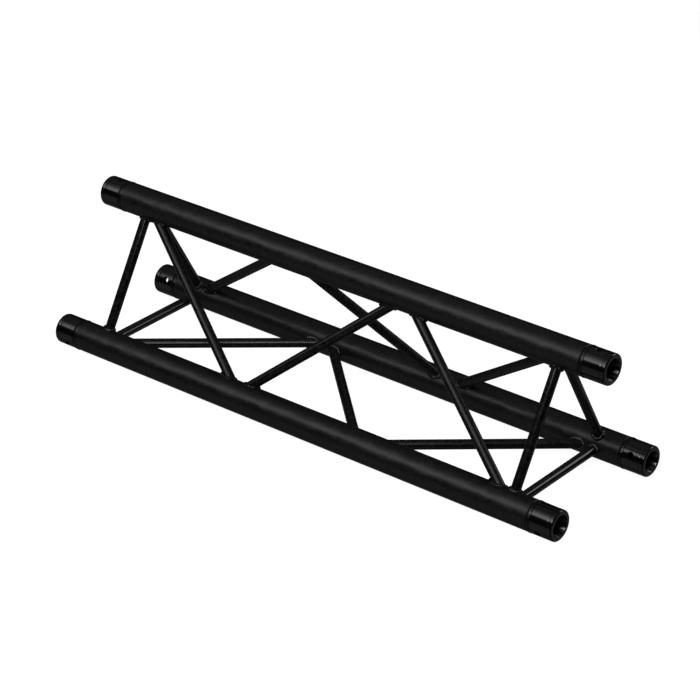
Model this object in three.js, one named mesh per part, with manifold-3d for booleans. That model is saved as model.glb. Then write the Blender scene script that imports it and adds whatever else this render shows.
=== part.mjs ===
// A one metre section of triangular lighting truss. Three chord tubes are laced together by welded braces,
// and a receiver for a conical coupler is welded into both ends of each chord.
import * as THREE from "three";
import { ParametricGeometry } from "three/addons/geometries/ParametricGeometry.js";
import { mergeVertices } from "three/addons/utils/BufferGeometryUtils.js";
import Module from "manifold-3d";

const wasm = await Module();
wasm.setup();

// Driving dimensions, in millimetres. X runs along the section, Z is up, and the lower chords stand on Z = 0.
const SECTION_LENGTH = 1000;
const CHORD_SPACING = 240; // between chord axes, the same on all three faces
const CHORD_RADIUS = 25;
const CHORD_BORE_RADIUS = 23;
const BRACE_RADIUS = 8;
const BRACE_BORE_RADIUS = 6;
const GAP = 0.3; // clearance between pieces that are welded to each other

// Stations along the chords, from mid length, where the axes of braces and chords cross
const END_STATION = 410;
const INNER_STATION = 122;
// On the two lower chords the feet of a V are drawn together, so their axes cross just outside the chord
const TUCKED_LEFT_STATION = 118.5;
const TUCKED_MIDDLE_STATION = 129;

// Receivers, measured inwards from the section's end face
const RECEIVER_LENGTH = 68;
const SOCKET_MOUTH_RADIUS = 17.5;
const SOCKET_BACK_RADIUS = 13.5;
const SOCKET_LEAD_IN = 0.8;
const NOSE_ROUNDING = 3;
const PIN_HOLE_INSET = 25.3;
const PIN_HOLE_RADIUS = 5;

// The V-groove butt weld between a receiver and its chord
const SEAM_INSET = 42.5; // from the end face to the middle of the seam
const SEAM_HALF_WIDTH = 4; // at the tube's outer surface
const SEAM_ROOT_HALF_WIDTH = 2; // at the tube's bore
const BEVEL_GAP = GAP * Math.SQRT2; // the clearance along X at the 45 degree sides of the groove

// The fillet welds round the braces' ends
const FILLET_LEG = 4;
const FILLET_CROWN = 0.6; // how far the bead's face bulges

const CHORD_SEGMENTS = 36;
const BRACE_SEGMENTS = 16;
const HOLE_SEGMENTS = 16;
const NOSE_STEPS = 2;

const SPOKE = CHORD_SPACING / Math.sqrt(3); // from the section's long axis to a chord's axis
const THIRD_TURN = (2 * Math.PI) / 3;
const ALONG = new THREE.Vector3(1, 0, 0);

// The three chords in turn round the long axis, each with the face that joins it to the next one,
// and whether the V that lands on the next chord has its feet drawn together
const SIDES = [
  { chord: "top", face: "front", tucked: true },
  { chord: "front", face: "bottom", tucked: true },
  { chord: "rear", face: "back", tucked: false },
];

// The ends of the section, with the turn that points a receiver's mouth outwards
const ENDS = [
  { end: "left", x: -SECTION_LENGTH / 2, turn: Math.PI / 2 },
  { end: "right", x: SECTION_LENGTH / 2, turn: -Math.PI / 2 },
];

// One face's lacing: where each brace starts on its own chord, and where it lands on the next chord
function laceFace(tucked) {
  const left = tucked ? TUCKED_LEFT_STATION : INNER_STATION;
  const middle = tucked ? TUCKED_MIDDLE_STATION : INNER_STATION;
  return [
    { brace: "end_strut_left", here: -END_STATION, there: -END_STATION },
    { brace: "diagonal_left", here: -END_STATION, there: -left },
    { brace: "diagonal_middle", here: INNER_STATION, there: -middle },
    { brace: "diagonal_right", here: INNER_STATION, there: END_STATION },
    { brace: "end_strut_right", here: END_STATION, there: END_STATION },
  ];
}

// Finishes: one black powder coat, a little glossier on the machined receivers and the thin braces
const COAT_COLOUR = 0x141517;
const CHORD_ROUGHNESS = 0.42;
const BRACE_ROUGHNESS = 0.34;
const RECEIVER_ROUGHNESS = 0.25;
const WELD_ROUGHNESS = 0.3;

function coated(name, geometry, roughness) {
  const coat = new THREE.MeshStandardMaterial({ color: COAT_COLOUR, roughness, metalness: 0 });
  const mesh = new THREE.Mesh(geometry, coat);
  mesh.name = name;
  return mesh;
}

// Geometry with only positions, in which neighbouring faces share their vertices
function joined(geometry) {
  geometry.deleteAttribute("normal");
  geometry.deleteAttribute("uv");
  return mergeVertices(geometry);
}

function solidFrom(geometry) {
  const { attributes, index } = joined(geometry);
  const mesh = new wasm.Mesh({
    numProp: 3,
    vertProperties: new Float32Array(attributes.position.array),
    triVerts: new Uint32Array(index.array),
  });
  return new wasm.Manifold(mesh);
}

function geometryFrom(solid) {
  const { vertProperties, triVerts } = solid.getMesh();
  const geometry = new THREE.BufferGeometry();
  geometry.setAttribute("position", new THREE.BufferAttribute(vertProperties, 3));
  geometry.setIndex(new THREE.BufferAttribute(triVerts, 1));
  geometry.computeVertexNormals();
  return geometry;
}

// A solid of revolution about Y from a list of [radius, y], which closes on itself
function turned(profile, segments) {
  const points = [...profile, profile[0]].map(([radius, y]) => new THREE.Vector2(radius, y));
  return new THREE.LatheGeometry(points, segments);
}

// The chord: a tube along Y, with both ends bevelled for the seam welds
function chordGeometry() {
  const seam = SECTION_LENGTH / 2 - SEAM_INSET;
  const outer = seam - SEAM_HALF_WIDTH;
  const inner = seam - SEAM_ROOT_HALF_WIDTH;
  const profile = [
    [CHORD_RADIUS, -outer],
    [CHORD_RADIUS, outer],
    [CHORD_BORE_RADIUS, inner],
    [CHORD_BORE_RADIUS, -inner],
  ];
  return turned(profile, CHORD_SEGMENTS);
}

// The bead that fills the groove between a chord and its receiver, with the section's end face at Y = 0
function seamGeometry() {
  const face = SEAM_HALF_WIDTH - BEVEL_GAP;
  const root = SEAM_ROOT_HALF_WIDTH - BEVEL_GAP;
  const profile = [
    [CHORD_BORE_RADIUS, -SEAM_INSET - root],
    [CHORD_RADIUS, -SEAM_INSET - face],
    [CHORD_RADIUS, -SEAM_INSET + face],
    [CHORD_BORE_RADIUS, -SEAM_INSET + root],
  ];
  return turned(profile, CHORD_SEGMENTS);
}

// The receiver's rounded nose, from its outer wall to its flat end face at Y = 0
function noseProfile() {
  const points = [];
  for (let i = 0; i <= NOSE_STEPS; i++) {
    const angle = (i / NOSE_STEPS) * (Math.PI / 2);
    const radius = CHORD_RADIUS - NOSE_ROUNDING + NOSE_ROUNDING * Math.cos(angle);
    points.push([radius, NOSE_ROUNDING * (Math.sin(angle) - 1)]);
  }
  return points;
}

// The receiver: a collar as wide as the chord, a spigot that fits inside it, a tapered socket
// for the coupler and a hole across for the coupler's pin. Its mouth is at Y = 0 and faces +Y.
function receiverGeometry() {
  const spigotRadius = CHORD_BORE_RADIUS - GAP;
  const profile = [
    [SOCKET_BACK_RADIUS, -RECEIVER_LENGTH],
    [spigotRadius, -RECEIVER_LENGTH],
    [spigotRadius, -SEAM_INSET + SEAM_ROOT_HALF_WIDTH - GAP],
    [CHORD_RADIUS, -SEAM_INSET + SEAM_HALF_WIDTH],
    ...noseProfile(),
    [SOCKET_MOUTH_RADIUS + SOCKET_LEAD_IN, 0],
    [SOCKET_MOUTH_RADIUS, -SOCKET_LEAD_IN],
  ];
  const body = solidFrom(turned(profile, CHORD_SEGMENTS));
  const drill = new THREE.CylinderGeometry(PIN_HOLE_RADIUS, PIN_HOLE_RADIUS, 3 * CHORD_RADIUS, HOLE_SEGMENTS);
  drill.rotateX(Math.PI / 2);
  drill.translate(0, -PIN_HOLE_INSET, 0);
  return geometryFrom(body.subtract(solidFrom(drill)));
}

// A point on a chord's axis, counted in turns of the face from the side's own chord
function onChordAxis(x, turns) {
  return new THREE.Vector3(x, 0, SPOKE).applyAxisAngle(ALONG, turns * THIRD_TURN);
}

// The frame of a brace's end: out along the brace, across it in the plane of its face, and across the face
function braceFrame(root, far) {
  const out = far.clone().sub(root).normalize();
  const level = far.clone().sub(root).setX(0).normalize();
  const side = ALONG.clone().cross(level);
  const across = side.clone().cross(out);
  return { out, level, side, across };
}

// A brace from chord axis to chord axis, cut back to the two chords' surfaces
function braceGeometry(root, far) {
  const { out, side, across } = braceFrame(root, far);
  const length = root.distanceTo(far);
  const profile = [
    [BRACE_BORE_RADIUS, 0],
    [BRACE_RADIUS, 0],
    [BRACE_RADIUS, length],
    [BRACE_BORE_RADIUS, length],
  ];
  const tube = turned(profile, BRACE_SEGMENTS);
  tube.applyMatrix4(new THREE.Matrix4().makeBasis(side, out, across).setPosition(root));
  let brace = solidFrom(tube);
  for (const end of [root, far]) {
    const clearance = CHORD_RADIUS + GAP;
    const chord = new THREE.CylinderGeometry(clearance, clearance, SECTION_LENGTH, CHORD_SEGMENTS);
    chord.rotateZ(Math.PI / 2);
    chord.translate(0, end.y, end.z);
    brace = brace.subtract(solidFrom(chord));
  }
  return geometryFrom(brace);
}

// The four corners of a fillet weld's section, at one angle round the brace: its root,
// its toe on the chord, the crown of its face and its toe on the brace
function filletSection(root, frame, angle) {
  const { out, level, side, across } = frame;
  const lean = BRACE_RADIUS * Math.cos(angle) * across.dot(level);
  const height = Math.sqrt(CHORD_RADIUS ** 2 - (BRACE_RADIUS * Math.sin(angle)) ** 2);
  const braceNormal = across.clone().multiplyScalar(Math.cos(angle)).addScaledVector(side, Math.sin(angle));
  const corner = root.clone().addScaledVector(out, (height - lean) / out.dot(level));
  corner.addScaledVector(braceNormal, BRACE_RADIUS);

  const chordNormal = corner.clone().sub(root).setX(0).normalize();
  const meeting = braceNormal.dot(chordNormal);
  const clear = chordNormal.clone().add(braceNormal).multiplyScalar(GAP / (1 + meeting));
  const weldRoot = corner.clone().add(clear);

  const away = braceNormal.clone().addScaledVector(chordNormal, -meeting).normalize();
  const onChord = corner.clone().addScaledVector(away, FILLET_LEG);
  const radial = onChord.clone().sub(root).setX(0);
  onChord.addScaledVector(radial, (CHORD_RADIUS + GAP) / radial.length() - 1);

  const onBrace = corner.clone().addScaledVector(out, FILLET_LEG).addScaledVector(braceNormal, GAP);
  const crown = onChord.clone().add(onBrace).multiplyScalar(0.5);
  crown.addScaledVector(crown.clone().sub(weldRoot).normalize(), FILLET_CROWN);
  return [weldRoot, onChord, crown, onBrace];
}

// The closed bead of fillet weld round a brace's end
function filletGeometry(root, far) {
  const frame = braceFrame(root, far);
  const rings = [];
  for (let i = 0; i < BRACE_SEGMENTS; i++) {
    rings.push(filletSection(root, frame, (i / BRACE_SEGMENTS) * 2 * Math.PI));
  }
  const corners = rings[0].length;
  const surface = (u, v, target) => {
    const ring = rings[Math.round(u * BRACE_SEGMENTS) % BRACE_SEGMENTS];
    target.copy(ring[Math.round(v * corners) % corners]);
  };
  return joined(new ParametricGeometry(surface, BRACE_SEGMENTS, corners));
}

// Every chord repeats the same pieces, so each of their shapes is made once.
const shapes = {
  chord: chordGeometry(),
  receiver: receiverGeometry(),
  seam: seamGeometry(),
};

// A chord with the receivers and seam welds at its ends, along X
function chordAssembly(chord) {
  const group = new THREE.Group();
  group.position.z = SPOKE;
  const tube = coated(`${chord}_chord`, shapes.chord, CHORD_ROUGHNESS);
  tube.rotation.z = -Math.PI / 2;
  group.add(tube);
  for (const { end, x, turn } of ENDS) {
    const fitting = new THREE.Group();
    fitting.position.x = x;
    fitting.rotation.z = turn;
    fitting.add(coated(`${chord}_receiver_${end}`, shapes.receiver, RECEIVER_ROUGHNESS));
    fitting.add(coated(`${chord}_seam_weld_${end}`, shapes.seam, WELD_ROUGHNESS));
    group.add(fitting);
  }
  return group;
}

// The braces of one face, with the fillet weld at each end named after the chord that it is on
function faceLacing({ chord, face, tucked }, nextChord) {
  const group = new THREE.Group();
  for (const { brace, here, there } of laceFace(tucked)) {
    const root = onChordAxis(here, 0);
    const far = onChordAxis(there, 1);
    group.add(coated(`${face}_${brace}`, braceGeometry(root, far), BRACE_ROUGHNESS));
    group.add(coated(`${face}_${brace}_weld_${chord}`, filletGeometry(root, far), WELD_ROUGHNESS));
    group.add(coated(`${face}_${brace}_weld_${nextChord}`, filletGeometry(far, root), WELD_ROUGHNESS));
  }
  return group;
}

const truss = new THREE.Group();
const longAxis = new THREE.Group();
longAxis.position.z = CHORD_RADIUS + SPOKE / 2;
truss.add(longAxis);
SIDES.forEach((side, i) => {
  const group = new THREE.Group();
  group.rotation.x = i * THIRD_TURN;
  group.add(chordAssembly(side.chord));
  group.add(faceLacing(side, SIDES[(i + 1) % SIDES.length].chord));
  longAxis.add(group);
});

export default truss;
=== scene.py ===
"""The looks of a lighting truss section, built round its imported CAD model.

Each tube, receiver and weld bead is a fine mesh that stands for one CAD node. The shapes come from the
driving dimensions below and from the boxes of the CAD chords. Everything is in metres.
"""
import math
import random

import bmesh
import bpy
from mathutils import Matrix, Vector


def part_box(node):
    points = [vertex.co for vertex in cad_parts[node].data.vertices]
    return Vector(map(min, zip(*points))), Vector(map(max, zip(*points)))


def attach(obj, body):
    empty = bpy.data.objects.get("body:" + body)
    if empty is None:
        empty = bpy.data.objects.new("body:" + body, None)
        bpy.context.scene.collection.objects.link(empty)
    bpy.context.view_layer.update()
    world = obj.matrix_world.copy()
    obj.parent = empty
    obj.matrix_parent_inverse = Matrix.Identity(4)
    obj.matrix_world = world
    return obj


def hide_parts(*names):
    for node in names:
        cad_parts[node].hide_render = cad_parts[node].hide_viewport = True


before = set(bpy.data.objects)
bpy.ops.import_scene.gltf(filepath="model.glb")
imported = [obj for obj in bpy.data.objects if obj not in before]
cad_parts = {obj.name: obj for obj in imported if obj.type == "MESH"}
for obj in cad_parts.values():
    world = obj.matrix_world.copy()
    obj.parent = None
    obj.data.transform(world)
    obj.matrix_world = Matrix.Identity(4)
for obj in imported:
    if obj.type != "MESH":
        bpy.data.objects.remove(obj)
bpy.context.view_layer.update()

MM = 0.001

# Driving dimensions, the same as the CAD model's
SECTION_LENGTH = 1000 * MM
CHORD_RADIUS = 25 * MM
CHORD_BORE_RADIUS = 23 * MM
BRACE_RADIUS = 8 * MM
BRACE_BORE_RADIUS = 6 * MM
GAP = 0.3 * MM
END_STATION = 410 * MM
INNER_STATION = 122 * MM
TUCKED_LEFT_STATION = 118.5 * MM
TUCKED_MIDDLE_STATION = 129 * MM
SEAM_INSET = 42.5 * MM
SEAM_HALF_WIDTH = 4 * MM
SEAM_ROOT_HALF_WIDTH = 2 * MM
RECEIVER_LENGTH = 68 * MM
SOCKET_MOUTH_RADIUS = 17.5 * MM
SOCKET_BACK_RADIUS = 13.5 * MM
PIN_HOLE_INSET = 25.3 * MM
PIN_HOLE_RADIUS = 5 * MM
NOSE_ROUNDING = 3 * MM

# Fineness of the meshes
CHORD_STEPS = 144
BRACE_STEPS = 64
HOLE_STEPS = 64
RIM_STEPS = 8
NOSE_STEPS = 12

ALONG = Vector((1, 0, 0))
UP = Vector((0, 0, 1))
FULL_TURN = 2 * math.pi
SHARP_ANGLE = math.radians(40)

# The three chords in turn round the section, each with the face that joins it to the next one, and
# whether the V that lands on the next chord has its feet drawn together
SIDES = (("top", "front", True), ("front", "bottom", True), ("rear", "back", False))


def lace_face(tucked):
    """One face's lacing: where each brace starts on its own chord, and where it lands on the next chord."""
    left = TUCKED_LEFT_STATION if tucked else INNER_STATION
    middle = TUCKED_MIDDLE_STATION if tucked else INNER_STATION
    return (
        ("end_strut_left", -END_STATION, -END_STATION),
        ("diagonal_left", -END_STATION, -left),
        ("diagonal_middle", INNER_STATION, -middle),
        ("diagonal_right", INNER_STATION, END_STATION),
        ("end_strut_right", END_STATION, END_STATION),
    )


def chord_axis(chord, x=0.0):
    """A point on a chord's axis, from the box of its CAD node."""
    low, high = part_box(f"{chord}_chord")
    middle = (Vector(low) + Vector(high)) / 2
    return Vector((x, middle.y, middle.z))


centroid = sum((chord_axis(chord) for chord, _, _ in SIDES), Vector()) / 3


# ---------------------------------------------------------------- mesh helpers

def circle(centre, radius, x, steps):
    """A ring of points round a line along X through centre."""
    angles = [FULL_TURN * k / steps for k in range(steps)]
    return [centre + Vector((x, radius * math.cos(a), radius * math.sin(a))) for a in angles]


def arc(centre_x, centre_r, radius, start, end, steps):
    """Profile points (x, r) on an arc, with its angles in degrees from +X towards +R."""
    points = []
    for k in range(steps + 1):
        angle = math.radians(start + (end - start) * k / steps)
        points.append((centre_x + radius * math.cos(angle), centre_r + radius * math.sin(angle)))
    return points


def straight(start, end, step):
    """Profile points between two others, no further apart than step, without the last one."""
    (x0, r0), (x1, r1) = start, end
    count = max(1, math.ceil(math.hypot(x1 - x0, r1 - r0) / step))
    return [(x0 + (x1 - x0) * k / count, r0 + (r1 - r0) * k / count) for k in range(count)]


def skin(rings):
    """The closed surface over a loop of closed rings of points, as (points, faces)."""
    around = len(rings[0])
    points = [point for ring in rings for point in ring]
    faces = []
    for i in range(len(rings)):
        j = (i + 1) % len(rings)
        for k in range(around):
            n = (k + 1) % around
            faces.append((i * around + k, j * around + k, j * around + n, i * around + n))
    return points, faces


def shade(mesh):
    """Smooth shading, with corners over SHARP_ANGLE left sharp."""
    mesh.shade_smooth()
    mesh.set_sharp_from_angle(angle=SHARP_ANGLE)


def mesh_from(name, points, faces):
    """A shaded mesh whose faces point out."""
    mesh = bpy.data.meshes.new(name)
    mesh.from_pydata([tuple(p) for p in points], [], faces)
    work = bmesh.new()
    work.from_mesh(mesh)
    bmesh.ops.recalc_face_normals(work, faces=work.faces)
    work.to_mesh(mesh)
    work.free()
    shade(mesh)
    return mesh


def add_object(name, data):
    made = bpy.data.objects.new(name, data)
    bpy.context.scene.collection.objects.link(made)
    return made


def piece(node, mesh, material=None):
    """Puts a fine mesh in place of a CAD node. A mesh that has its materials already needs none."""
    made = add_object(f"{node}_fine", mesh)
    if material:
        mesh.materials.append(material)
    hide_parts(node)
    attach(made, "root")


# ---------------------------------------------------------------- materials

class Nodes:
    """A short way to add shader nodes to a material or a world and link them."""

    def __init__(self, owner):
        owner.use_nodes = True
        self.tree = owner.node_tree
        self.tree.nodes.clear()

    def add(self, kind, links=(), **settings):
        """A node, with links as {input: output socket} and settings as attributes or input values."""
        node = self.tree.nodes.new(kind)
        for key, value in settings.items():
            if hasattr(node, key):
                setattr(node, key, value)
            else:
                node.inputs[key.replace("_", " ")].default_value = value
        for key, source in dict(links).items():
            self.tree.links.new(source, node.inputs[key])
        return node

    def ramp(self, source, low, high, dark, light, **settings):
        """source from low to high becomes a value from dark to light."""
        node = self.add("ShaderNodeMapRange", {"Value": source}, From_Min=low, From_Max=high,
                        To_Min=dark, To_Max=light, **settings)
        return node.outputs["Result"]

    def noise(self, place, scale, detail, roughness):
        node = self.add("ShaderNodeTexNoise", {"Vector": place}, Scale=scale, Detail=detail,
                        Roughness=roughness)
        return node.outputs["Fac"]

    def math(self, operation, *sources):
        return self.add("ShaderNodeMath", dict(enumerate(sources)), operation=operation).outputs[0]

    def bump(self, height, distance, below=None):
        """A bump of that depth, on top of the one below."""
        links = {"Height": height, "Normal": below} if below else {"Height": height}
        return self.add("ShaderNodeBump", links, Distance=distance).outputs[0]


COAT_BLACK = (0.002, 0.002, 0.0022)
NOISE_EDGES = (0.3, 0.7)  # the part of a noise's range that is used
CLOUDS_PER_METRE = 22.0  # broad patches of slightly paler and rougher coat
CLOUD_SHADES = (0.75, 1.3)  # the colour of the darkest and the palest cloud, in COAT_BLACK
SPECKS_PER_METRE = 160.0
SPECK_ROUGHNESS = 0.03  # how much rougher or smoother a speck is
RUBBED_POINTINESS = (0.53, 0.62)  # where an edge starts to be rubbed, and where it is rubbed most
RUBBED_SPECKS = (0.42, 0.62)
SWAY_SIZE = 26 * MM
GRAIN_FINENESS = 4  # bumps of grain across one bump of orange peel
GRAIN_DEPTH = 0.15  # depth of the grain, in depths of the orange peel


def coat_material(name, roughness, spread, peel, peel_size, wear, specular, sway=0.0):
    """Black powder coat over metal: slightly mottled, orange-peeled, and rubbed on its sharp edges.

    spread is how far the roughness wanders, peel the depth of the orange peel in metres, peel_size the
    size of its bumps in metres, wear how much paler a rubbed edge is, and sway the depth in metres of the
    long waves in the metal under the coat.
    """
    material = bpy.data.materials.new(name)
    n = Nodes(material)
    place = n.add("ShaderNodeTexCoord").outputs["Object"]
    peel_noise = n.noise(place, 1 / peel_size, 2.0, 0.5)
    grain_noise = n.noise(place, GRAIN_FINENESS / peel_size, 3.0, 0.6)
    clouds = n.noise(place, CLOUDS_PER_METRE, 4.0, 0.55)
    specks = n.noise(place, SPECKS_PER_METRE, 5.0, 0.65)

    edge = n.add("ShaderNodeNewGeometry").outputs["Pointiness"]
    rubbed = n.ramp(edge, *RUBBED_POINTINESS, 0.0, 1.0)
    patchy = n.ramp(specks, *RUBBED_SPECKS, 0.0, 1.0)
    worn = n.math("MULTIPLY", rubbed, patchy)

    mottle = n.ramp(clouds, *NOISE_EDGES, *CLOUD_SHADES)
    base = n.add("ShaderNodeVectorMath", {"Scale": mottle}, operation="SCALE")
    base.inputs[0].default_value = COAT_BLACK
    tint = n.add("ShaderNodeMix", {"Factor": worn, "A": base.outputs[0]}, data_type="RGBA")
    tint.inputs["B"].default_value = tuple(c + wear for c in COAT_BLACK) + (1.0,)

    broad = n.ramp(clouds, *NOISE_EDGES, roughness - spread, roughness + spread)
    fine = n.ramp(specks, *NOISE_EDGES, -SPECK_ROUGHNESS, SPECK_ROUGHNESS)

    swayed = n.bump(n.noise(place, 1 / SWAY_SIZE, 1.0, 0.4), sway)
    peeled = n.bump(peel_noise, peel, swayed)
    grained = n.bump(grain_noise, peel * GRAIN_DEPTH, peeled)

    shader = n.add("ShaderNodeBsdfPrincipled", {
        "Base Color": tint.outputs["Result"],
        "Roughness": n.math("ADD", broad, fine),
        "Normal": grained,
    }, Specular_IOR_Level=specular)
    n.add("ShaderNodeOutputMaterial", {"Surface": shader.outputs[0]})
    return material


chord_coat = coat_material("chord_coat", 0.38, 0.03, 0.02 * MM, 1.6 * MM, 0.01, 0.36, sway=1.5 * MM)
strut_coat = coat_material("strut_coat", 0.13, 0.015, 0.004 * MM, 1.6 * MM, 0.01, 0.4, sway=0.05 * MM)
diagonal_coat = coat_material("diagonal_coat", 0.26, 0.02, 0.005 * MM, 1.6 * MM, 0.01, 0.3, sway=0.15 * MM)
receiver_coat = coat_material("receiver_coat", 0.12, 0.02, 0.008 * MM, 1.2 * MM, 0.02, 0.5)
weld_coat = coat_material("weld_coat", 0.19, 0.03, 0.03 * MM, 0.9 * MM, 0.012, 0.5)
seam_coat = coat_material("seam_coat", 0.22, 0.03, 0.02 * MM, 0.9 * MM, 0.012, 0.3)

# The socket's colours are painted light: pale at the mouth and in streaks, as painted highlights, and dark
# deeper in and between them, as painted shade.
BORE_PAINTED_SHADE_COLOUR = (0.02, 0.02, 0.02, 1)
BORE_PAINTED_STREAK_COLOUR = (0.46, 0.46, 0.46, 1)
BORE_PAINTED_SHADE_DEPTH = 12 * MM  # painted shade: how far in from the mouth the wall's colour darkens to full shade
BORE_PAINTED_STREAK_SIZE = 3.6 * MM  # width of the painted streak highlights along the wall
BORE_PAINTED_STREAK_SQUASH = (0.04, 1, 1)  # draws the painted streaks out along the bore
BORE_PAINTED_STREAK_EDGES = (0.46, 0.54)
BORE_BETWEEN_PAINTED_STREAKS = 0.05  # how much of the painted highlight stays between two streaks
BORE_ROUGHNESS = 0.37
BORE_ROUGHNESS_SPREAD = 0.04
BORE_MOTTLES_PER_METRE = 90.0
BORE_RING_SCALE = 125.0  # the wave texture's scale for turned rings about 2.5 mm apart
BORE_RING_DEPTH = 0.004 * MM


def bore_material():
    """The turned wall of a socket: dark metal with fine rings, which draw each light out along the bore.
    Its colour holds painted light: a painted shade deeper in from the mouth, and painted streak highlights
    along the wall.
    """
    material = bpy.data.materials.new("turned_bore")
    n = Nodes(material)
    place = n.add("ShaderNodeTexCoord").outputs["Object"]
    mottle = n.noise(place, BORE_MOTTLES_PER_METRE, 4.0, 0.6)
    away = n.math("ABSOLUTE", n.add("ShaderNodeSeparateXYZ", {0: place}).outputs["X"])
    # painted shade: the wall's colour goes from pale at the mouth to dark deeper in, where less light
    # reaches
    bright = n.ramp(away, SECTION_LENGTH / 2 - BORE_PAINTED_SHADE_DEPTH, SECTION_LENGTH / 2, 0.0, 1.0)
    # painted streak highlights: noise drawn out along the bore pales the wall in streaks that stand for the
    # lights' reflections
    squashed = n.add("ShaderNodeVectorMath", {0: place}, operation="MULTIPLY")
    squashed.inputs[1].default_value = BORE_PAINTED_STREAK_SQUASH
    streak_noise = n.noise(squashed.outputs[0], 1 / BORE_PAINTED_STREAK_SIZE, 1.5, 0.55)
    painted_streaks = n.ramp(streak_noise, *BORE_PAINTED_STREAK_EDGES, BORE_BETWEEN_PAINTED_STREAKS, 1.0)
    tint = n.add("ShaderNodeMix", {"Factor": n.math("MULTIPLY", bright, painted_streaks)}, data_type="RGBA")
    tint.inputs["A"].default_value = BORE_PAINTED_SHADE_COLOUR
    tint.inputs["B"].default_value = BORE_PAINTED_STREAK_COLOUR
    rings = n.add("ShaderNodeTexWave", {"Vector": place}, bands_direction="X", Scale=BORE_RING_SCALE,
                  Distortion=1.5, Detail=2.0)
    rough = n.ramp(mottle, *NOISE_EDGES, BORE_ROUGHNESS - BORE_ROUGHNESS_SPREAD,
                   BORE_ROUGHNESS + BORE_ROUGHNESS_SPREAD)
    along = n.add("ShaderNodeTangent", direction_type="RADIAL", axis="X")
    shader = n.add("ShaderNodeBsdfPrincipled", {
        "Base Color": tint.outputs["Result"],
        "Roughness": rough,
        "Normal": n.bump(rings.outputs["Fac"], BORE_RING_DEPTH),
        "Tangent": along.outputs[0],
    }, Metallic=1.0, Anisotropic=1.0, Anisotropic_Rotation=0.25)
    n.add("ShaderNodeOutputMaterial", {"Surface": shader.outputs[0]})
    return material


turned_bore = bore_material()


# ---------------------------------------------------------------- chord tubes

def chord_mesh(chord):
    """A chord tube with bevelled ends, which stop in the middle of the seam welds' grooves."""
    seam = SECTION_LENGTH / 2 - SEAM_INSET
    outer = seam - SEAM_HALF_WIDTH
    inner = seam - SEAM_ROOT_HALF_WIDTH
    profile = (
        (-outer, CHORD_RADIUS),
        (outer, CHORD_RADIUS),
        (inner, CHORD_BORE_RADIUS),
        (-inner, CHORD_BORE_RADIUS),
    )
    axis = chord_axis(chord)
    return mesh_from(f"{chord}_chord", *skin([circle(axis, r, x, CHORD_STEPS) for x, r in profile]))


# ---------------------------------------------------------------- receivers

GROOVE_INSET = 8.5 * MM  # a fine turned line round the nose
GROOVE_HALF_WIDTH = 0.9 * MM
GROOVE_DEPTH = 0.45 * MM
RIM_ROUNDING = 0.8 * MM  # between the end face and the socket
HOLE_FLARE = 0.6 * MM  # the countersink at the pin hole's rims
DRILL_OVERSHOOT = 2 * MM
WALL_STEP = 1.6 * MM  # spacing of the rings on the walls that the pin hole cuts
BORE_FACING = 0.8  # how squarely a face of the socket's wall looks at the receiver's axis, at least


def receiver_profile():
    """The receiver's closed section as (x, r), with its mouth at x = 0 and its body at negative x."""
    spigot = CHORD_BORE_RADIUS - GAP
    shoulder = (-SEAM_INSET + SEAM_HALF_WIDTH, CHORD_RADIUS)
    groove = [
        (-GROOVE_INSET - GROOVE_HALF_WIDTH, CHORD_RADIUS),
        (-GROOVE_INSET, CHORD_RADIUS - GROOVE_DEPTH),
        (-GROOVE_INSET + GROOVE_HALF_WIDTH, CHORD_RADIUS),
    ]
    nose_start = (-NOSE_ROUNDING, CHORD_RADIUS)
    back = (-RECEIVER_LENGTH, SOCKET_BACK_RADIUS)
    nose = arc(-NOSE_ROUNDING, CHORD_RADIUS - NOSE_ROUNDING, NOSE_ROUNDING, 90, 0, NOSE_STEPS)
    rim = arc(-RIM_ROUNDING, SOCKET_MOUTH_RADIUS + RIM_ROUNDING, RIM_ROUNDING, 0, -90, RIM_STEPS)
    return [
        *straight(shoulder, groove[0], WALL_STEP),
        *groove,
        *straight(groove[-1], nose_start, WALL_STEP)[1:],
        *nose,
        *rim,
        *straight(rim[-1], back, WALL_STEP)[1:],
        back,
        (-RECEIVER_LENGTH, spigot),
        (-SEAM_INSET + SEAM_ROOT_HALF_WIDTH - GAP, spigot),
    ]


def pin_cutter():
    """The drill for the pin hole, along Z, flared where it leaves the collar's wall."""
    top = CHORD_RADIUS + DRILL_OVERSHOOT
    flare = CHORD_RADIUS - HOLE_FLARE
    profile = (
        (PIN_HOLE_RADIUS + top - flare, top),
        (PIN_HOLE_RADIUS, flare),
        (PIN_HOLE_RADIUS, -flare),
        (PIN_HOLE_RADIUS + top - flare, -top),
    )
    points = []
    for radius, z in profile:
        for k in range(HOLE_STEPS):
            angle = FULL_TURN * k / HOLE_STEPS
            points.append((-PIN_HOLE_INSET + radius * math.cos(angle), radius * math.sin(angle), z))
    last = len(profile) - 1
    faces = [tuple(range(HOLE_STEPS)), tuple(range(last * HOLE_STEPS, (last + 1) * HOLE_STEPS))]
    for i in range(last):
        for k in range(HOLE_STEPS):
            n = (k + 1) % HOLE_STEPS
            a, b = i * HOLE_STEPS, (i + 1) * HOLE_STEPS
            faces.append((a + k, b + k, b + n, a + n))
    return mesh_from("pin_cutter", points, faces)


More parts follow.
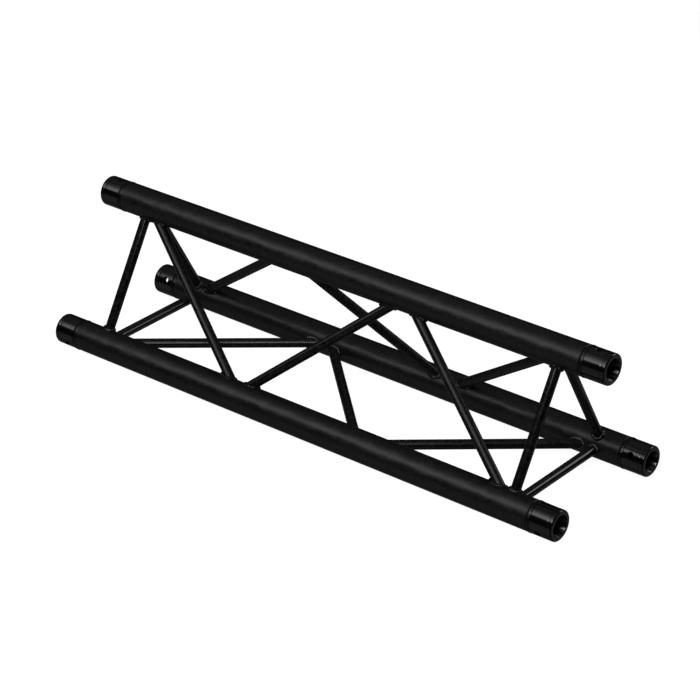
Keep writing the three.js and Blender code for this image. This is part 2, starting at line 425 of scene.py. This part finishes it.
def receiver_mesh():
    """One receiver on the X axis with its mouth at the origin, facing +X, and its pin hole along Z."""
    rings = [circle(Vector(), r, x, CHORD_STEPS) for x, r in receiver_profile()]
    body = add_object("receiver_blank", mesh_from("receiver_blank", *skin(rings)))
    drill = add_object("pin_drill", pin_cutter())
    cut = body.modifiers.new("pin_hole", "BOOLEAN")
    cut.operation = "DIFFERENCE"
    cut.solver = "EXACT"
    cut.object = drill
    drilled = bpy.data.meshes.new_from_object(body.evaluated_get(bpy.context.evaluated_depsgraph_get()))
    shade(drilled)
    for used in (body, drill):
        bpy.data.objects.remove(used)
    drilled.materials.clear()
    drilled.materials.append(receiver_coat)
    drilled.materials.append(turned_bore)
    for face in drilled.polygons:
        spoke = Vector((0, face.center.y, face.center.z))
        inside = spoke.length < SOCKET_MOUTH_RADIUS
        faces_axis = face.normal.dot(spoke.normalized()) < -BORE_FACING
        face.material_index = 1 if inside and faces_axis else 0
    return drilled


def place_receiver(blank, chord, turn, end):
    """A copy of the receiver at one end of a chord, with its pin hole pointing at the section's middle."""
    sign = 1 if end == "right" else -1
    facing = Matrix.Identity(4) if sign > 0 else Matrix.Rotation(math.pi, 4, "Z")
    spot = Matrix.Translation(chord_axis(chord)) @ Matrix.Rotation(turn, 4, "X")
    mesh = blank.copy()
    mesh.transform(spot @ Matrix.Translation((sign * SECTION_LENGTH / 2, 0, 0)) @ facing)
    return mesh


# ---------------------------------------------------------------- braces

BRACE_SINK = 0.4 * MM  # how far a coped end goes under the chord's surface


class BraceEnd:
    """One end of a brace: where its axis leaves the chord's axis, and the directions round it."""

    def __init__(self, root, far):
        self.root = root
        self.out = (far - root).normalized()
        level = far - root
        level.x = 0
        self.level = level.normalized()
        self.side = ALONG.cross(self.level)
        self.across = self.side.cross(self.out)

    def outward(self, angle):
        return self.across * math.cos(angle) + self.side * math.sin(angle)

    def corner(self, angle, radius, chord_radius):
        """Where a tube of that radius round the brace's axis meets a chord of chord_radius."""
        lean = radius * math.cos(angle) * self.across.dot(self.level)
        height = math.sqrt(chord_radius ** 2 - (radius * math.sin(angle)) ** 2)
        reach = (height - lean) / self.out.dot(self.level)
        return self.root + self.out * reach + self.outward(angle) * radius


def brace_mesh(name, root, far):
    """A hollow brace whose coped ends sit just under the surface of both chords."""
    near, there = BraceEnd(root, far), BraceEnd(far, root)
    angles = [FULL_TURN * k / BRACE_STEPS for k in range(BRACE_STEPS)]
    loop = (
        (near, 1, BRACE_RADIUS),
        (there, -1, BRACE_RADIUS),
        (there, -1, BRACE_BORE_RADIUS),
        (near, 1, BRACE_BORE_RADIUS),
    )
    rings = []
    for end, way, radius in loop:
        rings.append([end.corner(way * a, radius, CHORD_RADIUS - BRACE_SINK) for a in angles])
    return mesh_from(name, *skin(rings))


# ---------------------------------------------------------------- weld beads

RIPPLE_BOW = 0.45  # how far the middle of a puddle runs ahead of its ends, in puddles
PUDDLE_SIZES = (0.25, 1.5)
PUDDLE_ROUNDNESS = 0.7  # under 1, puddles are flatter on top and the valleys between them sharper
STEPS_PER_RIPPLE = 8
SWELL_WANDER = 0.45
SINK = 0.45 * MM  # how far a bead's toes go under the surfaces that it joins

FILLET_LEG = 3.5 * MM
FILLET_BULGE = 0.3  # how far the face swells from the straight line between its toes, in legs
CROTCH_GAIN = 0.22  # how much longer the legs are where the brace leans over the bead
LEG_WANDER = 0.2
SCALLOP = 0.2  # how much the toes move in and out with each puddle, in legs
RIPPLE_PITCH = 3.6 * MM
RIPPLE_DEPTH = 1.0 * MM
FILLET_SLIP = 0.12  # how far the puddles wander along the bead, in puddles
FACE_STEPS = 11
TRAVEL_SAMPLES = 720
ROOT_DEPTH = 1.1 * MM  # how far a fillet's hidden back goes under the surfaces

SEAM_BEAD_HALF_WIDTH = 3.3 * MM
SEAM_CROWN = 0.45 * MM
SEAM_PITCH = 3.4 * MM
SEAM_RIPPLE = 0.22 * MM
SEAM_SLIP = 0.15
SEAM_FACE_STEPS = 15
SEAM_WANDER = 0.12
SEAM_WAVES = 14
SEAM_ROOT_SHARE = 0.45  # width of the bead's hidden root, in widths of its face
SEAM_ROOT_COVER = 0.1 * MM  # how far the root stays outside the radius of the chord's bore


class Wander:
    """A smooth random function of an angle, the same after a full turn, between about -1 and 1."""

    def __init__(self, dice, waves=6):
        self.parts = []
        for k in range(1, waves + 1):
            self.parts.append((k, dice.uniform(0, FULL_TURN), dice.uniform(0.3, 1) / math.sqrt(k)))
        self.scale = sum(weight for _, _, weight in self.parts) / 1.6

    def __call__(self, angle):
        return sum(weight * math.sin(k * angle + phase) for k, phase, weight in self.parts) / self.scale


class Puddles:
    """The overlapping puddles of a weld bead, each with a size of its own."""

    def __init__(self, dice, length, pitch):
        self.count = round(length / pitch)
        self.start = dice.uniform(0, 1)
        self.sizes = [dice.uniform(*PUDDLE_SIZES) for _ in range(self.count)]

    def height(self, phase):
        """A round hump for each puddle and a sharp valley between two, for a phase counted in puddles."""
        spot = phase + self.start
        hump = abs(math.sin(math.pi * spot)) ** PUDDLE_ROUNDNESS
        return self.sizes[math.floor(spot) % self.count] * hump


def even_angles(end, steps):
    """Angles round a brace's end, evenly spaced along the line where it meets the chord."""
    fine = [FULL_TURN * k / TRAVEL_SAMPLES for k in range(TRAVEL_SAMPLES + 1)]
    points = [end.corner(angle, BRACE_RADIUS, CHORD_RADIUS) for angle in fine]
    travelled = [0.0]
    for before, after in zip(points, points[1:]):
        travelled.append(travelled[-1] + (after - before).length)
    angles = []
    spot = 0
    for k in range(steps):
        target = travelled[-1] * k / steps
        while travelled[spot + 1] < target:
            spot += 1
        share = (target - travelled[spot]) / (travelled[spot + 1] - travelled[spot])
        angles.append(FULL_TURN * (spot + share) / TRAVEL_SAMPLES)
    return angles


def fillet_mesh(name, root, far, dice):
    """The rippled bead of weld round one end of a brace."""
    end = BraceEnd(root, far)
    angles = [FULL_TURN * k / BRACE_STEPS for k in range(BRACE_STEPS)]
    coarse = [end.corner(angle, BRACE_RADIUS, CHORD_RADIUS) for angle in angles]
    perimeter = sum((coarse[k] - coarse[k - 1]).length for k in range(BRACE_STEPS))
    puddles = Puddles(dice, perimeter, RIPPLE_PITCH)
    chord_wander, brace_wander, swell, slip = (Wander(dice) for _ in range(4))
    rings = []
    for k, angle in enumerate(even_angles(end, puddles.count * STEPS_PER_RIPPLE)):
        phase = k / STEPS_PER_RIPPLE
        corner = end.corner(angle, BRACE_RADIUS, CHORD_RADIUS)
        brace_normal = end.outward(angle)
        chord_normal = corner - end.root
        chord_normal.x = 0
        chord_normal.normalize()
        away = (brace_normal - chord_normal * brace_normal.dot(chord_normal)).normalized()
        leg = FILLET_LEG * (1 + CROTCH_GAIN * away.dot(end.out))
        scallop = SCALLOP * (puddles.height(phase + RIPPLE_BOW) - 0.5)
        toe_chord = corner + away * leg * (1 + LEG_WANDER * chord_wander(angle) + scallop)
        radial = toe_chord - end.root
        radial.x = 0
        toe_chord += radial * ((CHORD_RADIUS - SINK) / radial.length - 1)
        toe_brace = corner + end.out * leg * (1 + LEG_WANDER * brace_wander(angle) + scallop)
        toe_brace -= brace_normal * SINK
        middle = (toe_chord + toe_brace) / 2
        lift = (middle - corner).normalized()
        control = middle + lift * leg * FILLET_BULGE * (1 + SWELL_WANDER * swell(angle))
        ring = []
        for step in range(FACE_STEPS):
            t = step / (FACE_STEPS - 1)
            point = toe_chord * (1 - t) ** 2 + control * 2 * t * (1 - t) + toe_brace * t ** 2
            bow = RIPPLE_BOW * (2 * t - 1) ** 2 + FILLET_SLIP * slip(angle)
            ring.append(point + lift * puddles.height(phase + bow) * RIPPLE_DEPTH * 4 * t * (1 - t))
        inside = corner - brace_normal * ROOT_DEPTH
        ring.append(inside + end.out * ROOT_DEPTH)
        ring.append(inside - chord_normal * ROOT_DEPTH)
        ring.append(corner + (away - chord_normal) * ROOT_DEPTH)
        rings.append(ring)
    return mesh_from(name, *skin(rings))


def seam_mesh(name, axis, x, dice):
    """The rippled bead of weld round a chord, over the groove between it and its receiver."""
    puddles = Puddles(dice, FULL_TURN * CHORD_RADIUS, SEAM_PITCH)
    left_wander, right_wander, swell, slip = (Wander(dice, SEAM_WAVES) for _ in range(4))
    steps = puddles.count * STEPS_PER_RIPPLE
    rings = []
    for k in range(steps):
        angle = FULL_TURN * k / steps
        radial = Vector((0, math.cos(angle), math.sin(angle)))
        low = -SEAM_BEAD_HALF_WIDTH * (1 + SEAM_WANDER * left_wander(angle))
        high = SEAM_BEAD_HALF_WIDTH * (1 + SEAM_WANDER * right_wander(angle))
        ring = []
        for step in range(SEAM_FACE_STEPS):
            t = step / (SEAM_FACE_STEPS - 1)
            dome = 4 * t * (1 - t)
            bow = RIPPLE_BOW * (2 * t - 1) ** 2 + SEAM_SLIP * slip(angle)
            height = (SEAM_CROWN * (1 + SWELL_WANDER * swell(angle)) + SINK) * dome - SINK
            height += puddles.height(k / STEPS_PER_RIPPLE + bow) * SEAM_RIPPLE * dome
            foot = axis + Vector((x + low + (high - low) * t, 0, 0))
            ring.append(foot + radial * (CHORD_RADIUS + height))
        for edge in (high, low):
            foot = axis + Vector((x + edge * SEAM_ROOT_SHARE, 0, 0))
            ring.append(foot + radial * (CHORD_BORE_RADIUS + SEAM_ROOT_COVER))
        rings.append(ring)
    return mesh_from(name, *skin(rings))


# ---------------------------------------------------------------- the section

def add_chord(chord, turn, blank):
    """A chord with its two receivers, whose pin holes are turned by that angle, and their seam welds."""
    piece(f"{chord}_chord", chord_mesh(chord), chord_coat)
    for end, sign in (("left", -1), ("right", 1)):
        piece(f"{chord}_receiver_{end}", place_receiver(blank, chord, turn, end))
        node = f"{chord}_seam_weld_{end}"
        seam_x = sign * (SECTION_LENGTH / 2 - SEAM_INSET)
        piece(node, seam_mesh(node, chord_axis(chord), seam_x, random.Random(node)), seam_coat)


def add_lacing(face, chord, next_chord, tucked):
    """One face's braces, each with the weld at either end."""
    for brace, here, there in lace_face(tucked):
        node = f"{face}_{brace}"
        root, far = chord_axis(chord, here), chord_axis(next_chord, there)
        coat = strut_coat if "strut" in brace else diagonal_coat
        piece(node, brace_mesh(node, root, far), coat)
        for foot, head, on in ((root, far, chord), (far, root, next_chord)):
            weld = f"{node}_weld_{on}"
            piece(weld, fillet_mesh(weld, foot, head, random.Random(weld)), weld_coat)


receiver_blank = receiver_mesh()
for i, (chord, face, tucked) in enumerate(SIDES):
    add_chord(chord, FULL_TURN * i / len(SIDES), receiver_blank)
    add_lacing(face, chord, SIDES[(i + 1) % len(SIDES)][0], tucked)
bpy.data.meshes.remove(receiver_blank)


# ---------------------------------------------------------------- stage

FLOOR_EMISSION = 0.93
FLOOR_ALBEDO = 0.35
FLOOR_DROP = 1 * MM  # leaves room for the crowns of the seam welds
FLOOR_RINGS = (0.4, 1.0, 2.0, 4.0)
SWEEP_RADIUS = 9.0
SWEEP_CORNER = 2.5
SWEEP_CORNER_STEPS = 12
SWEEP_HEIGHT = 7.0
SWEEP_SHOULDER = (SWEEP_RADIUS / 2, SWEEP_HEIGHT + 2)
SWEEP_TOP = SWEEP_HEIGHT + 2.5
SWEEP_STEPS = 72


def sweep_material():
    """Pale paper that glows evenly, with just enough diffuse shade to carry a faint shadow."""
    material = bpy.data.materials.new("pale_sweep")
    n = Nodes(material)
    glow = n.add("ShaderNodeEmission", Strength=FLOOR_EMISSION)
    paper = n.add("ShaderNodeBsdfDiffuse", Color=(FLOOR_ALBEDO,) * 3 + (1,))
    both = n.add("ShaderNodeAddShader", {0: glow.outputs[0], 1: paper.outputs[0]})
    n.add("ShaderNodeOutputMaterial", {"Surface": both.outputs[0]})
    return material


def sweep_mesh():
    """A round floor that curves up into a wall and closes overhead, seen only from inside."""
    profile = [(radius, 0.0) for radius in (*FLOOR_RINGS, SWEEP_RADIUS - SWEEP_CORNER)]
    for k in range(1, SWEEP_CORNER_STEPS + 1):
        angle = math.pi / 2 * k / SWEEP_CORNER_STEPS
        radius = SWEEP_RADIUS - SWEEP_CORNER * (1 - math.sin(angle))
        profile.append((radius, SWEEP_CORNER * (1 - math.cos(angle))))
    profile += [(SWEEP_RADIUS, SWEEP_HEIGHT), SWEEP_SHOULDER]
    points = [(0.0, 0.0, 0.0)]
    for radius, z in profile:
        for k in range(SWEEP_STEPS):
            angle = FULL_TURN * k / SWEEP_STEPS
            points.append((radius * math.cos(angle), radius * math.sin(angle), z))
    points.append((0.0, 0.0, SWEEP_TOP))
    last = 1 + (len(profile) - 1) * SWEEP_STEPS
    faces = []
    for k in range(SWEEP_STEPS):
        n = (k + 1) % SWEEP_STEPS
        faces.append((0, 1 + k, 1 + n))
        for a in range(1, last, SWEEP_STEPS):
            b = a + SWEEP_STEPS
            faces.append((a + k, b + k, b + n, a + n))
        faces.append((last + k, len(points) - 1, last + n))
    return mesh_from("sweep", points, faces)


def add_sweep():
    """The paper, which the camera sees and the object's coat doesn't."""
    sweep = add_object("sweep", sweep_mesh())
    sweep.data.materials.append(sweep_material())
    sweep.location.z = -FLOOR_DROP
    sweep.visible_glossy = False
    sweep.visible_diffuse = False
    sweep.visible_shadow = False
    sweep.visible_transmission = False


add_sweep()


# ---------------------------------------------------------------- lights

# The key is one long softbox in front of the section and above it, brighter towards its lower edge
KEY_SPAN = (-1.9, 1.0)
KEY_LOW = (-1.62, 1.03)
KEY_HIGH = (-0.30, 1.90)
# The parts of the key, each from one share to another of the way from the low edge to the high one
KEY_PARTS = (
    ("key_rim", 0.05, 0.12, 0.3),
    ("key_core", 0.12, 0.44, 2.4),
    ("key_upper", 0.44, 0.68, 1.3),
    ("key_top", 0.68, 1.0, 0.3),
)


def frame_of(x_axis, y_axis, z_axis, origin):
    """The matrix with these columns."""
    return Matrix((
        (x_axis.x, y_axis.x, z_axis.x, origin.x),
        (x_axis.y, y_axis.y, z_axis.y, origin.y),
        (x_axis.z, y_axis.z, z_axis.z, origin.z),
        (0, 0, 0, 1),
    ))


def area_light(name, size, radiance, placed):
    """A rectangular light whose face has that radiance. It shines along its own -Z."""
    light = bpy.data.lights.new(name, "AREA")
    light.shape = "RECTANGLE"
    light.size, light.size_y = size
    light.energy = radiance * math.pi * size[0] * size[1]
    made = add_object(name, light)
    made.matrix_world = placed
    made.visible_camera = False


def softbox(name, middle, size, radiance):
    """A softbox with its middle at a point, turned to face the section, with its first side level."""
    back = (Vector(middle) - centroid).normalized()
    level = UP.cross(back).normalized()
    area_light(name, size, radiance, frame_of(level, back.cross(level), back, Vector(middle)))


def key_strip(name, start, stop, radiance):
    """The part of the key between two shares of the way from its low edge to its high one."""
    low_edge, high_edge = Vector((0, *KEY_LOW)), Vector((0, *KEY_HIGH))
    low, high = low_edge.lerp(high_edge, start), low_edge.lerp(high_edge, stop)
    middle = (low + high) / 2 + ALONG * sum(KEY_SPAN) / 2
    up = (high - low).normalized()
    size = (KEY_SPAN[1] - KEY_SPAN[0], (high - low).length)
    area_light(name, size, radiance, frame_of(ALONG, up, ALONG.cross(up), middle))


for part in KEY_PARTS:
    key_strip(*part)
softbox("front_softbox", (0.60, -1.15, 1.00), (0.5, 0.3), 9.5)
softbox("back_softbox", (1.20, 1.55, 1.00), (0.8, 0.8), 2.8)

# How bright the studio is at each height, with the height as the sine of its elevation
WORLD_STOPS = (
    (-0.95, 0.07),
    (-0.7, 0.08),
    (-0.2, 0.08),
    (-0.08, 0.01),
    (0.33, 0.01),
    (0.5, 0.07),
    (0.8, 0.15),
)
# Patches of floor that a light falls on: their axis, their edges as cosines from it, and their radiance
POOLS = (
    ((-0.30, -0.82, -0.47), (0.78, 0.93), 0.13),
    ((0.50, 0.72, -0.48), (0.80, 0.97), 0.08),
)
POOL_HORIZON = (-0.09, -0.19)  # a pool starts at the first of these heights and is full at the second


def studio_world():
    """What the glossy coat mirrors where there is no softbox.

    There is a dim ceiling, a dark horizon and a pale floor, which is palest in two pools, one in front on
    the left and one behind on the right.
    """
    world = bpy.data.worlds.new("studio")
    n = Nodes(world)
    place = n.add("ShaderNodeTexCoord").outputs["Generated"]
    height = n.add("ShaderNodeSeparateXYZ", {0: place}).outputs["Z"]
    ramp = n.add("ShaderNodeValToRGB", {"Fac": n.ramp(height, -1.0, 1.0, 0.0, 1.0)})
    elements = ramp.color_ramp.elements
    while len(elements) < len(WORLD_STOPS):
        elements.new(0.5)
    for element, (z, value) in zip(elements, WORLD_STOPS):
        element.position = (z + 1) / 2
        element.color = (value, value, value, 1)

    def pool_of_light(axis, edges, radiance):
        facing = n.add("ShaderNodeVectorMath", {0: place}, operation="DOT_PRODUCT")
        facing.inputs[1].default_value = Vector(axis).normalized()
        return n.ramp(facing.outputs["Value"], *edges, 0.0, radiance, interpolation_type="SMOOTHSTEP")

    pools = n.math("ADD", *(pool_of_light(*pool) for pool in POOLS))
    below = n.ramp(height, *POOL_HORIZON, 0.0, 1.0, interpolation_type="SMOOTHSTEP")
    lit = n.math("MULTIPLY_ADD", pools, below, ramp.outputs["Color"])
    shader = n.add("ShaderNodeBackground", {"Color": lit})
    n.add("ShaderNodeOutputWorld", {"Surface": shader.outputs[0]})
    bpy.context.scene.world = world


studio_world()


# ---------------------------------------------------------------- camera

VIEW_AZIMUTH = math.radians(38.99)
VIEW_ELEVATION = math.radians(27.82)
VIEW_DISTANCE = 4.279
VIEW_OFFSET = (7.5 * MM, 4.8 * MM)  # the middle of the picture from the section's centroid, right and up
LENS_MM = 139.8
SENSOR_MM = 36
CLIP = (0.05, 60)


def add_camera():
    """The camera at the photo's angle."""
    level_back = Vector((math.sin(VIEW_AZIMUTH), -math.cos(VIEW_AZIMUTH), 0))
    back = level_back * math.cos(VIEW_ELEVATION) + UP * math.sin(VIEW_ELEVATION)
    right = UP.cross(back).normalized()
    up = back.cross(right)
    data = bpy.data.cameras.new("camera")
    data.sensor_width = SENSOR_MM
    data.lens = LENS_MM
    data.clip_start, data.clip_end = CLIP
    made = add_object("camera", data)
    spot = centroid + back * VIEW_DISTANCE + right * VIEW_OFFSET[0] + up * VIEW_OFFSET[1]
    made.matrix_world = frame_of(right, up, back, spot)
    bpy.context.scene.camera = made


add_camera()
bpy.context.scene.view_settings.view_transform = "Standard"
